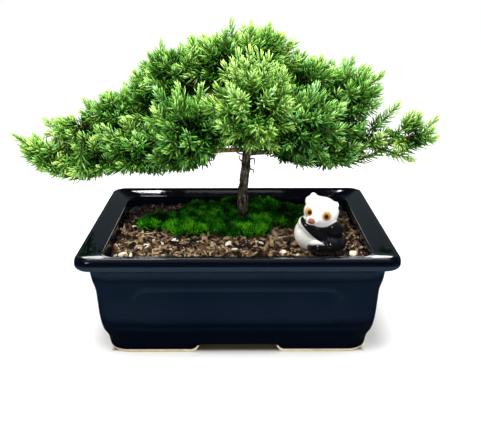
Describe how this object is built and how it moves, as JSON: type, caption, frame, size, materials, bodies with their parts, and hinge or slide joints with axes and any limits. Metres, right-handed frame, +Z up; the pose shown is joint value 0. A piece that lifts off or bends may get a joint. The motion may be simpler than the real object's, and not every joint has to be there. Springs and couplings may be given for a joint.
{
  "type": "potted bonsai tree",
  "caption": "Juniper bonsai with a spreading needled crown in a rectangular navy-glazed pot, with moss, bark-and-pumice soil and a small ceramic panda.",
  "frame": {"origin": "middle of the whole object's bounding box, on the ground", "axes": "+X along the pot's long side, to the right seen from the front; +Y to the back; +Z up"},
  "size_m": [0.3129, 0.1686, 0.2151],
  "materials": {
    "glaze": "gloss",
    "screen": "matte",
    "soil": "matte",
    "bark": "matte",
    "needles": "satin",
    "moss": "matte",
    "pumice": "matte",
    "chip": "matte",
    "figurine": "gloss"
  },
  "bodies": {
    "root": {"bark_chip_1": "chip", "bark_chip_2": "chip", "bark_chip_3": "chip", "bark_chip_4": "chip", "bark_chip_5": "chip", "bark_chip_6": "chip", "drain_screen_left": "screen", "drain_screen_right": "screen", "foliage_back_left": "needles", "foliage_back_middle": "needles", "foliage_back_right": "needles", "foliage_front_crown": "needles", "foliage_front_left": "needles", "foliage_front_right": "needles", "foliage_heart": "needles", "foliage_left_high": "needles", "foliage_left_low_inner": "needles", "foliage_left_low_mid": "needles", "foliage_left_low_outer": "needles", "foliage_left_low_tip": "needles", "foliage_left_mid_inner": "needles", "foliage_left_mid_mid": "needles", "foliage_left_mid_outer": "needles", "foliage_right_high": "needles", "foliage_right_low_inner": "needles", "foliage_right_low_mid": "needles", "foliage_right_low_outer": "needles", "foliage_right_low_tip": "needles", "foliage_right_mid_inner": "needles", "foliage_right_mid_outer": "needles", "foliage_top_left": "needles", "foliage_top_right": "needles", "moss_back": "moss", "moss_back_left": "moss", "moss_front": "moss", "moss_front_left": "moss", "moss_left": "moss", "moss_right": "moss", "panda_figurine": "figurine", "pot": "glaze", "pumice_1": "pumice", "pumice_2": "pumice", "pumice_3": "pumice", "pumice_4": "pumice", "pumice_5": "pumice", "pumice_6": "pumice", "pumice_7": "pumice", "pumice_8": "pumice", "soil": "soil", "trunk": "bark"}
  },
  "joints": []
}
